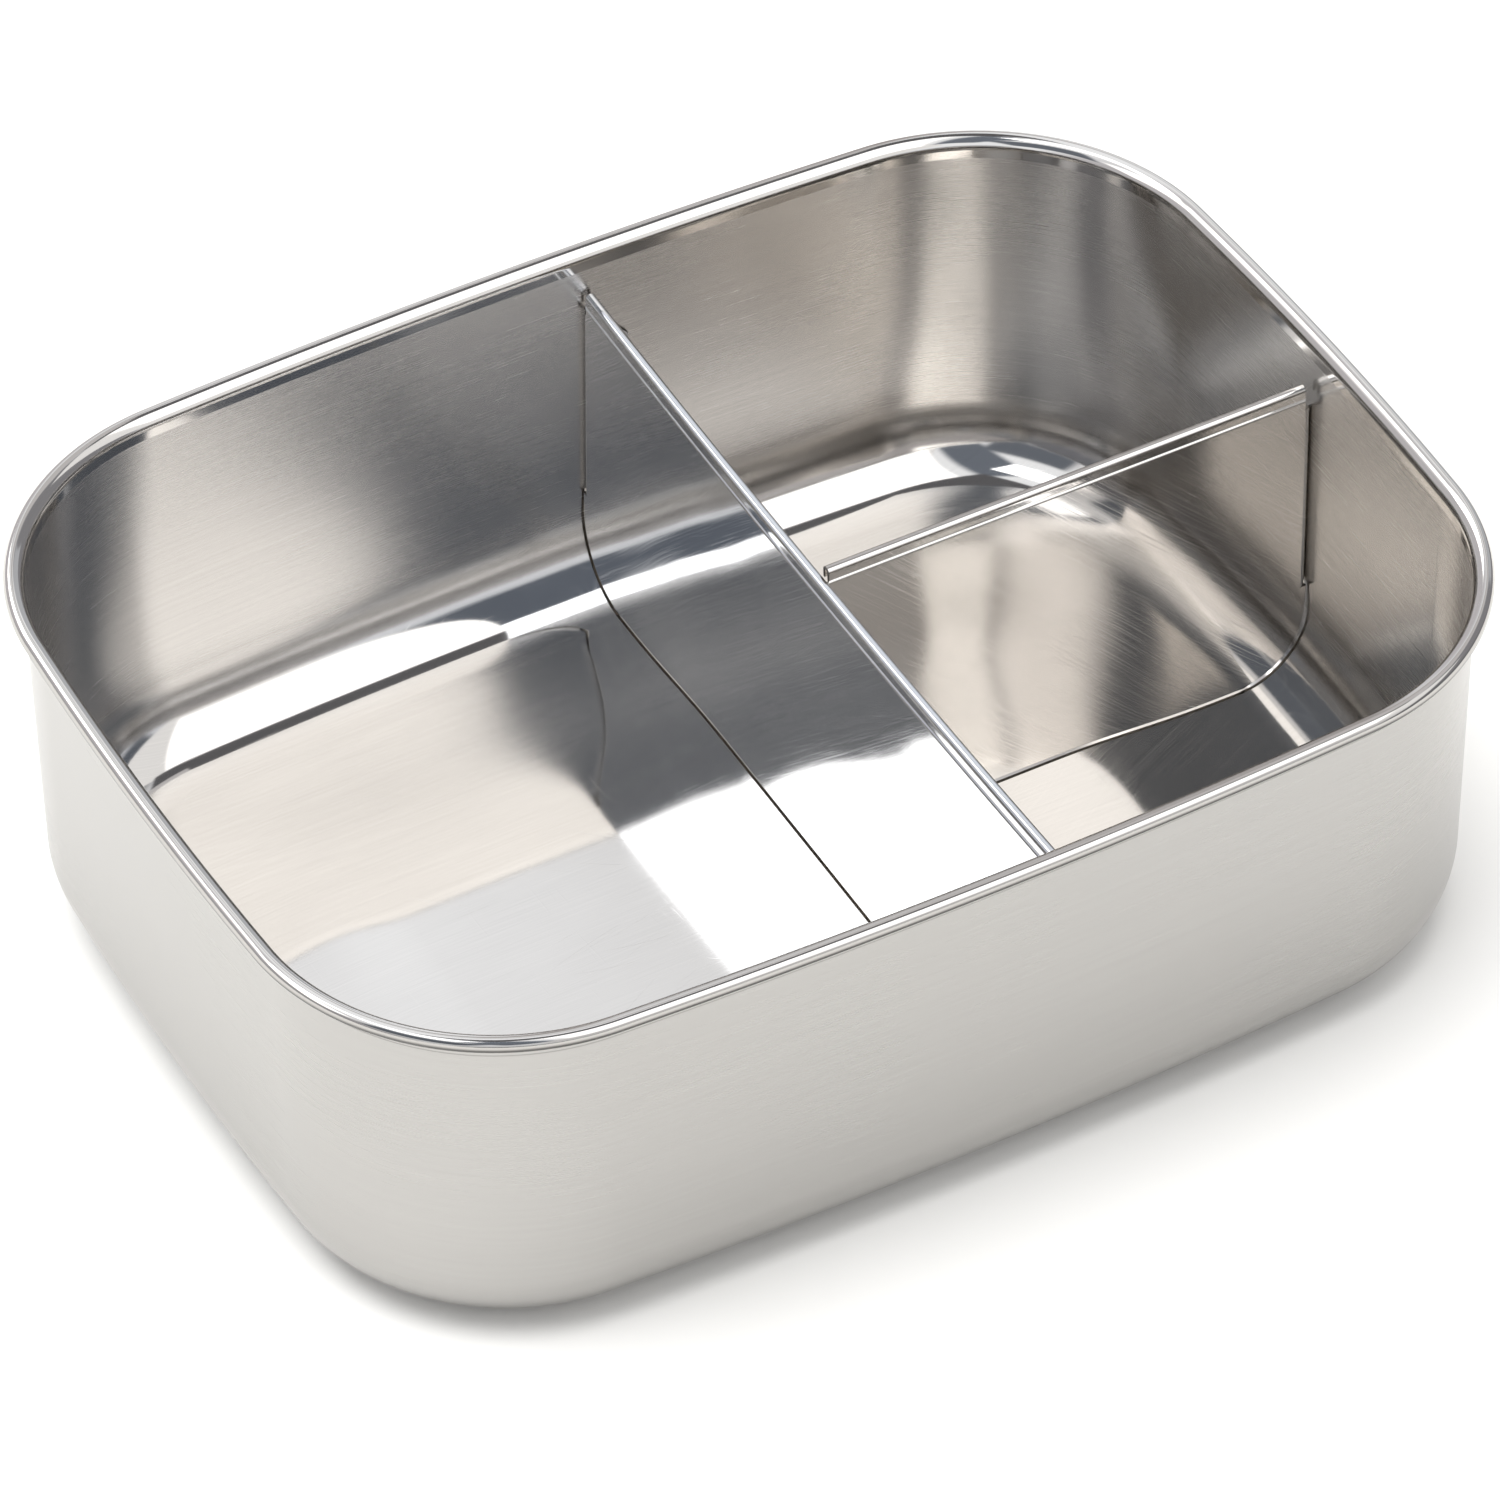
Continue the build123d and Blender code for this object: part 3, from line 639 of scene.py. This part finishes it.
# ------------------------------------------------------------------- materials
class Nodes:
    """Small helper round one material's node tree."""

    def __init__(self, name, colour, rough, aniso=0.0, turn=0.0):
        self.m = bpy.data.materials.new(name)
        self.m.use_nodes = True
        self.t = self.m.node_tree
        self.b = self.t.nodes["Principled BSDF"]
        self.b.inputs["Base Color"].default_value = (*colour, 1)
        self.b.inputs["Metallic"].default_value = 1.0
        self.b.inputs["Roughness"].default_value = rough
        self.b.inputs["Anisotropic"].default_value = aniso
        self.b.inputs["Anisotropic Rotation"].default_value = turn
        self.colour = colour

    def add(self, kind, **values):
        n = self.t.nodes.new(kind)
        for k, v in values.items():
            if k in n.inputs:
                n.inputs[k].default_value = v
            else:
                setattr(n, k, v)
        return n

    def link(self, a, b):
        self.t.links.new(a, b)

    def math(self, op, a, b=None, c=None, clamp=False):
        n = self.t.nodes.new("ShaderNodeMath")
        n.operation = op
        n.use_clamp = clamp
        for i, v in enumerate((a, b, c)):
            if v is None:
                continue
            if isinstance(v, (int, float)):
                n.inputs[i].default_value = v
            else:
                self.link(v, n.inputs[i])
        return n.outputs[0]

    def span(self, value, a0, a1, b0, b1, smooth=True):
        n = self.t.nodes.new("ShaderNodeMapRange")
        n.interpolation_type = "SMOOTHSTEP" if smooth else "LINEAR"
        self.link(value, n.inputs["Value"])
        for k, v in zip(("From Min", "From Max", "To Min", "To Max"), (a0, a1, b0, b1)):
            n.inputs[k].default_value = v
        return n.outputs[0]

    def coords(self, source, scale, rot=0.0, shift=(0, 0, 0)):
        """Finish coordinates ('uv', metres along and across the sheet) or the row frame ('xyz'), scaled per metre."""
        if source == "uv":
            src = self.add("ShaderNodeUVMap", uv_map="finish").outputs[0]
        else:
            src = self.add("ShaderNodeTexCoord").outputs["Object"]
        mp = self.t.nodes.new("ShaderNodeMapping")
        mp.inputs["Scale"].default_value = scale
        mp.inputs["Rotation"].default_value = (0, 0, rot)
        mp.inputs["Location"].default_value = shift
        self.link(src, mp.inputs["Vector"])
        return mp.outputs[0]

    def scratches(self, turn, along, across, lo, hi, seed):
        """Sparse fine scratches of one direction: 0 on the plain surface, 1 in a scratch."""
        mp = self.t.nodes.new("ShaderNodeMapping")
        mp.inputs["Rotation"].default_value = (0, 0, turn)
        mp.inputs["Location"].default_value = (0.31 * seed, 0.17 * seed, 0)
        self.link(self.coords("uv", (1, 1, 1)), mp.inputs["Vector"])
        sc = self.t.nodes.new("ShaderNodeMapping")
        sc.inputs["Scale"].default_value = (along, across, 1)
        self.link(mp.outputs[0], sc.inputs["Vector"])
        return self.span(self.noise(sc.outputs[0], 1.0, 1.5, 0.5), lo, hi, 0.0, 1.0)

    def noise(self, vec, scale=1.0, detail=3.0, rough=0.55, distort=0.0):
        n = self.add("ShaderNodeTexNoise", Scale=scale, Detail=detail, Roughness=rough, Distortion=distort)
        self.link(vec, n.inputs["Vector"])
        return n.outputs["Fac"]

    def mix(self, f, a, b):
        """a + f (b - a) for numbers."""
        n = self.t.nodes.new("ShaderNodeMix")
        n.data_type = "FLOAT"
        for i, v in ((0, f), (2, a), (3, b)):
            if isinstance(v, (int, float)):
                n.inputs[i].default_value = v
            else:
                self.link(v, n.inputs[i])
        return n.outputs[0]

    def tangent(self):
        n = self.add("ShaderNodeTangent", direction_type="UV_MAP", uv_map="finish")
        self.link(n.outputs[0], self.b.inputs["Tangent"])

    def tone(self, amount, *parts, gain=None):
        """Base colour varied round its value by the sum of (factor - 0.5) parts, then times gain."""
        total = None
        for f, w in parts:
            v = self.math("MULTIPLY_ADD", f, w, -0.5 * w)
            total = v if total is None else self.math("ADD", total, v)
        g = self.math("MULTIPLY_ADD", total, amount, 1.0)
        if gain is not None:
            g = self.math("MULTIPLY", g, gain)
        mul = self.add("ShaderNodeVectorMath", operation="SCALE")
        mul.inputs[0].default_value = self.colour
        self.link(g, mul.inputs["Scale"])
        self.link(mul.outputs[0], self.b.inputs["Base Color"])

    def bump(self, height, strength, distance, under=None):
        n = self.add("ShaderNodeBump", Strength=strength, Distance=distance)
        self.link(height, n.inputs["Height"])
        if under is not None:
            self.link(under, n.inputs["Normal"])
        self.link(n.outputs[0], self.b.inputs["Normal"])
        return n.outputs[0]


STEEL = (0.70, 0.678, 0.65)
# the tray's own steel, coloured darker on the outside as painted shade, to dim the bright paper its outer walls mirror
STEEL_OUT_SHADED = (0.435, 0.424, 0.409)
STEEL_LONG = (0.73, 0.745, 0.77)
ROUGH = {"wall": 0.26, "polish": 0.055, "rim": 0.09, "out": 0.26, "div": 0.06}


def steel_inside():
    """Drawn inside: brushed walls, polished fillet and floor with faint lines along the length."""
    s = Nodes("steel_inside", STEEL, 0.1, aniso=0.62, turn=0.25)
    s.tangent()
    pos = s.add("ShaderNodeNewGeometry").outputs["Position"]
    sep = s.add("ShaderNodeSeparateXYZ")
    s.link(pos, sep.inputs[0])
    wall = s.span(sep.outputs["Z"], 0.0028, 0.0125, 0.0, 1.0)
    fine = s.noise(s.coords("uv", (55, 6500, 1)), 1.0, 4.0, 0.6)
    long = s.noise(s.coords("uv", (16, 1500, 1)), 1.0, 3.0, 0.55)
    cloud = s.noise(s.coords("uv", (28, 42, 1)), 1.0, 3.0, 0.5, 0.4)
    ffine = s.noise(s.coords("xyz", (60, 5200, 1), rot=0.03), 1.0, 4.0, 0.6)
    fcloud = s.noise(s.coords("xyz", (30, 36, 1)), 1.0, 3.0, 0.5, 0.3)
    r_wall = s.math("ADD", s.math("MULTIPLY_ADD", fine, 0.10, ROUGH["wall"] - 0.08),
                    s.math("MULTIPLY_ADD", cloud, 0.06, 0.0))
    r_floor = s.math("ADD", s.math("MULTIPLY_ADD", ffine, 0.03, ROUGH["polish"] - 0.03),
                     s.math("MULTIPLY_ADD", fcloud, 0.03, 0.0))
    s.link(s.mix(wall, r_floor, r_wall), s.b.inputs["Roughness"])
    cut1 = s.scratches(0.02, 34, 4200, 0.66, 0.74, 1)
    cut2 = s.scratches(0.55, 26, 3600, 0.70, 0.78, 2)
    cut3 = s.scratches(-0.9, 30, 3800, 0.72, 0.80, 3)
    marks = s.math("MULTIPLY", s.math("ADD", cut1, s.math("ADD", cut2, cut3)), s.math("MULTIPLY_ADD", wall, 0.75, 0.25))
    s.tone(0.16, (s.mix(wall, ffine, fine), 1.0), (s.mix(wall, fcloud, long), 0.8), (marks, 0.28))
    h = s.mix(wall, s.math("MULTIPLY", ffine, 0.12), s.math("ADD", fine, s.math("MULTIPLY", long, 0.9)))
    h = s.math("MULTIPLY_ADD", marks, 0.5, h)
    s.bump(h, 0.14, 0.00004)
    return s.m


def steel_rim():
    """Rolled rim: lightly buffed, rougher where the roll turns under, with painted shade darkening its outer side and
    underside.
    """
    sec = tray_section()
    d = np.concatenate([[0], np.cumsum(np.hypot(np.diff(sec[:, 0]), np.diff(sec[:, 1])))])
    turn = np.linspace(TH_FLARE, CURL_END, 34)
    at = lambda deg: float(np.interp(-deg, -turn, d[-34:])) * MM
    s = Nodes("steel_rim", STEEL, ROUGH["rim"])
    uv = s.add("ShaderNodeUVMap", uv_map="finish").outputs[0]
    sep = s.add("ShaderNodeSeparateXYZ")
    s.link(uv, sep.inputs[0])
    # painted shade masks along the roll: side darkens its outer side, under darkens its underside and also makes it
    # rougher
    side = s.span(sep.outputs["Y"], at(52), at(30), 0.0, 1.0)
    under = s.span(sep.outputs["Y"], at(14), at(-14), 0.0, 1.0)
    fine = s.noise(s.coords("uv", (40, 5000, 1)), 1.0, 3.0, 0.6)
    cloud = s.noise(s.coords("uv", (60, 60, 1)), 1.0, 2.0, 0.5)
    rough = s.math("ADD", s.math("MULTIPLY_ADD", fine, 0.05, ROUGH["rim"] - 0.05), s.math("MULTIPLY", cloud, 0.04))
    s.link(s.math("MULTIPLY_ADD", under, 0.2, rough), s.b.inputs["Roughness"])
    # the gain paints shade on the roll's outer side and underside
    s.tone(0.08, (fine, 1.0), (cloud, 0.5), gain=s.math("MULTIPLY_ADD", under, -0.5, s.math("MULTIPLY_ADD", side, -0.36, 1.0)))
    s.bump(fine, 0.05, 0.00003)
    return s.m


def steel_outside():
    s = Nodes("steel_outside", STEEL_OUT_SHADED, ROUGH["out"], aniso=0.5, turn=0.25)
    s.tangent()
    fine = s.noise(s.coords("uv", (45, 6000, 1)), 1.0, 4.0, 0.6)
    long = s.noise(s.coords("uv", (14, 1300, 1)), 1.0, 3.0, 0.55)
    cloud = s.noise(s.coords("uv", (22, 30, 1)), 1.0, 3.0, 0.5)
    s.link(s.math("ADD", s.math("MULTIPLY_ADD", fine, 0.08, ROUGH["out"] - 0.07), s.math("MULTIPLY", cloud, 0.06)),
           s.b.inputs["Roughness"])
    marks = s.math("ADD", s.scratches(0.03, 30, 4000, 0.68, 0.76, 5), s.scratches(0.4, 26, 3600, 0.74, 0.82, 6))
    sep = s.add("ShaderNodeSeparateXYZ")
    s.link(s.add("ShaderNodeNewGeometry").outputs["Position"], sep.inputs[0])
    # painted reflection of the rim: a thin dark band on the outer wall about 59 mm up, darkening its colour by up to
    # 35%
    line = s.math("MULTIPLY", s.span(sep.outputs["Z"], 0.05885, 0.05905, 0.0, 1.0),
                  s.span(sep.outputs["Z"], 0.05905, 0.05925, 1.0, 0.0))
    s.tone(0.10, (fine, 1.0), (long, 0.7), (marks, 0.5), gain=s.math("MULTIPLY_ADD", line, -0.35, 1.0))
    s.bump(s.math("ADD", fine, long), 0.08, 0.00004)
    return s.m


def steel_cut_shaded():
    """Sheared edges: dull, with fine drag marks across the thickness, and coloured nearly black as painted shade of the
    gaps and slots they border.
    """
    s = Nodes("steel_cut_shaded", (0.16, 0.145, 0.13), 0.42)
    fine = s.noise(s.coords("xyz", (900, 900, 900)), 1.0, 3.0, 0.6)
    s.link(s.math("MULTIPLY_ADD", fine, 0.2, 0.32), s.b.inputs["Roughness"])
    s.tone(0.5, (fine, 1.0))
    s.bump(fine, 0.2, 0.00005)
    return s.m


def steel_divider(name, shift, tint):
    """Bright rolled sheet with fine slanting brush lines that add a faint haze, and a few scratches."""
    s = Nodes(name, tint, ROUGH["div"])
    fine = s.noise(s.coords("uv", (55, 5200, 1), shift=(shift, 0, 0)), 1.0, 4.0, 0.6)
    cloud = s.noise(s.coords("uv", (26, 34, 1), shift=(shift, 0, 0)), 1.0, 3.0, 0.5, 0.5)
    haze = s.scratches(0.785, 45, 6200, 0.50, 0.66, 6 + shift)
    haze = s.math("MULTIPLY", haze, s.span(cloud, 0.35, 0.65, 0.45, 1.0))
    marks = s.math("ADD", s.scratches(0.7, 36, 4200, 0.68, 0.78, 7 + shift),
                   s.scratches(-0.25, 30, 3800, 0.72, 0.82, 8 + shift))
    rough = s.math("ADD", s.math("MULTIPLY_ADD", fine, 0.03, ROUGH["div"] - 0.04), s.math("MULTIPLY", cloud, 0.03))
    rough = s.math("MULTIPLY_ADD", haze, 0.15, rough)
    s.link(s.math("MULTIPLY_ADD", marks, 0.10, rough), s.b.inputs["Roughness"])
    s.tone(0.10, (fine, 0.5), (haze, 0.4), (cloud, 0.5), (marks, 0.4))
    s.bump(s.math("ADD", fine, s.math("MULTIPLY", marks, 0.5)), 0.03, 0.00003)
    return s.m


for mt in (steel_inside(), steel_rim(), steel_outside()):
    tray.data.materials.append(mt)
# sheared-edge steel, nearly black: painted shade of the gaps along the dividers' edges
shaded_cut = steel_cut_shaded()
long_div.data.materials.append(steel_divider("steel_long_divider", 0.0, STEEL_LONG))
short_div.data.materials.append(steel_divider("steel_short_divider", 3.7, STEEL))
long_div.data.materials.append(shaded_cut)
short_div.data.materials.append(shaded_cut)

for ob, node, slot in ((tray, "tray", "tray_steel"), (long_div, "long_divider", "divider_steel"),
                       (short_div, "short_divider", "divider_steel")):
    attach(ob, "root")
    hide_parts(node)

# ------------------------------------------------------------------------ stage
me = bpy.data.meshes.new("floor")
S = 3.0
me.from_pydata([(-S, -S, -0.0001), (S, -S, -0.0001), (S, S, -0.0001), (-S, S, -0.0001)], [], [(0, 1, 2, 3)])
floor = bpy.data.objects.new("floor", me)
bpy.context.scene.collection.objects.link(floor)
fm_ = bpy.data.materials.new("floor_paper")
fm_.use_nodes = True
fb = fm_.node_tree.nodes["Principled BSDF"]
fb.inputs["Base Color"].default_value = (0.86, 0.85, 0.82, 1)
fb.inputs["Roughness"].default_value = 0.9
floor.data.materials.append(fm_)

# Studio sky: soft panels and flags over a plain backdrop, each laid over the ones before it.
# Place on a round chart of the sky in degrees from overhead (x right, y back), turn, half width,
# half height, width of the soft edge, colour.
BACKDROP = (1.15, 1.18, 1.23)
PANELS = [
    (-82.8, 60.7, 26.5, 85.0, 62.7, 31.0, (0.63, 0.62, 0.65)),
    (85.9, -15.7, -12.5, 54.1, 49.5, 13.6, (0.28, 0.28, 0.30)),
    (-3.4, -101.7, -10.9, 42.7, 14.1, 18.0, (0.02, 0.02, 0.02)),
    (25.2, -43.3, -12.7, 24.4, 40.2, 0.8, (1.05, 1.05, 1.06)),
    (15.5, -33.5, 0.0, 16.0, 27.5, 2.0, (1.90, 1.90, 1.92)),
    (-47.3, -27.9, 17.4, 15.6, 18.6, 4.9, (0.17, 0.19, 0.225)),
    (-16.4, -29.1, -10.1, 9.4, 27.0, 4.2, (0.19, 0.215, 0.26)),
    (-48.5, 22.3, 46.8, 20.5, 8.0, 12.0, (3.30, 3.30, 3.33)),
    (-12.6, 50.0, 19.4, 14.4, 7.5, 5.0, (4.20, 4.25, 4.30)),
    (-23.2, 9.7, 10.7, 6.9, 24.1, 0.9, (3.00, 3.05, 3.15)),
    (12.7, 4.6, 6.5, 20.2, 10.6, 2.0, (0.14, 0.14, 0.15)),
    (29.0, 23.2, 11.0, 10.0, 16.5, 0.8, (0.66, 0.65, 0.66)),
    (56.4, 44.6, -16.4, 12.2, 17.3, 0.8, (0.56, 0.58, 0.62)),
    (30.9, 67.5, -21.4, 2.4, 28.1, 7.1, (0.32, 0.29, 0.28)),
]


def sky_dir(x, y):
    el, az = math.radians(90 - math.hypot(x, y)), math.atan2(x, -y)
    return Vector((math.sin(az) * math.cos(el), -math.cos(az) * math.cos(el), math.sin(el)))


def build_sky():
    world = bpy.data.worlds.new("studio")
    bpy.context.scene.world = world
    world.use_nodes = True
    world.cycles.sampling_method = "NONE"
    nt = world.node_tree
    ray = nt.nodes.new("ShaderNodeTexCoord").outputs["Generated"]

    def math_node(op, a, b=None):
        n = nt.nodes.new("ShaderNodeMath")
        n.operation = op
        nt.links.new(a, n.inputs[0])
        if b is not None:
            nt.links.new(b, n.inputs[1])
        return n.outputs[0]

    def dot(v):
        n = nt.nodes.new("ShaderNodeVectorMath")
        n.operation = "DOT_PRODUCT"
        nt.links.new(ray, n.inputs[0])
        n.inputs[1].default_value = v
        return n.outputs["Value"]

    def edge(num, den, half, soft):
        angle = math_node("ABSOLUTE", math_node("ARCTAN2", num, den))
        n = nt.nodes.new("ShaderNodeMapRange")
        n.interpolation_type = "SMOOTHSTEP"
        nt.links.new(angle, n.inputs["Value"])
        n.inputs["From Min"].default_value = math.radians(half - soft / 2)
        n.inputs["From Max"].default_value = math.radians(half + soft / 2)
        n.inputs["To Min"].default_value = 1.0
        n.inputs["To Max"].default_value = 0.0
        return n.outputs["Result"]

    col = nt.nodes.new("ShaderNodeRGB")
    col.outputs[0].default_value = BACKDROP + (1,)
    col = col.outputs[0]
    for x, y, turn, w, h, soft, rgb in PANELS:
        c = sky_dir(x, y)
        t = sky_dir(x + 0.001, y) - c
        t = (t - c * t.dot(c)).normalized()
        u = c.cross(t)
        if (sky_dir(x, y + 0.001) - c).dot(u) < 0:
            u = -u
        cr, sr = math.cos(math.radians(turn)), math.sin(math.radians(turn))
        den = dot(c)
        mask = math_node("MULTIPLY", edge(dot(cr * t + sr * u), den, w, soft), edge(dot(cr * u - sr * t), den, h, soft))
        mix = nt.nodes.new("ShaderNodeMix")
        mix.data_type = "RGBA"
        mix.clamp_result = False
        nt.links.new(mask, mix.inputs[0])
        nt.links.new(col, mix.inputs[6])
        mix.inputs[7].default_value = rgb + (1,)
        col = mix.outputs[2]
    nt.links.new(col, nt.nodes["Background"].inputs["Color"])
    nt.nodes["Background"].inputs["Strength"].default_value = 1.0


build_sky()

# wide overhead fill for the paper, left out of the steel's reflections
fill_data = bpy.data.lights.new("fill", "SUN")
fill_data.energy = 2.5
fill_data.angle = math.radians(50)
fill = bpy.data.objects.new("fill", fill_data)
fill.rotation_euler = (math.radians(-5), math.radians(-7), 0)
fill.visible_glossy = False
bpy.context.scene.collection.objects.link(fill)

# ----------------------------------------------------------------------- camera
AZ, EL, ROLL = math.radians(-28.503), math.radians(43.18), math.radians(-0.845)
DIST, TX, TY = 1355.657, 0.2945, -26.5785
back = Vector((math.sin(AZ) * math.cos(EL), -math.cos(AZ) * math.cos(EL), math.sin(EL)))
right = Vector((0, 0, 1)).cross(back).normalized()
up = back.cross(right)
right_r = right * math.cos(ROLL) + up * math.sin(ROLL)
up_r = -right * math.sin(ROLL) + up * math.cos(ROLL)
loc = (back * DIST + right_r * TX + up_r * TY + Vector((0, 0, Z0))) * MM
cam_data = bpy.data.cameras.new("camera")
cam_data.sensor_width = 36.0
cam_data.lens = 223.757
cam_data.clip_start, cam_data.clip_end = 0.05, 50.0
cam = bpy.data.objects.new("camera", cam_data)
bpy.context.scene.collection.objects.link(cam)
m = Matrix.Identity(4)
for i, v in enumerate((right_r, up_r, back)):
    for k in range(3):
        m[k][i] = v[k]
for k in range(3):
    m[k][3] = loc[k]
cam.matrix_world = m
bpy.context.scene.camera = cam
bpy.context.scene.view_settings.view_transform = "Standard"
bpy.context.scene.cycles.max_bounces = 16
bpy.context.scene.cycles.glossy_bounces = 16
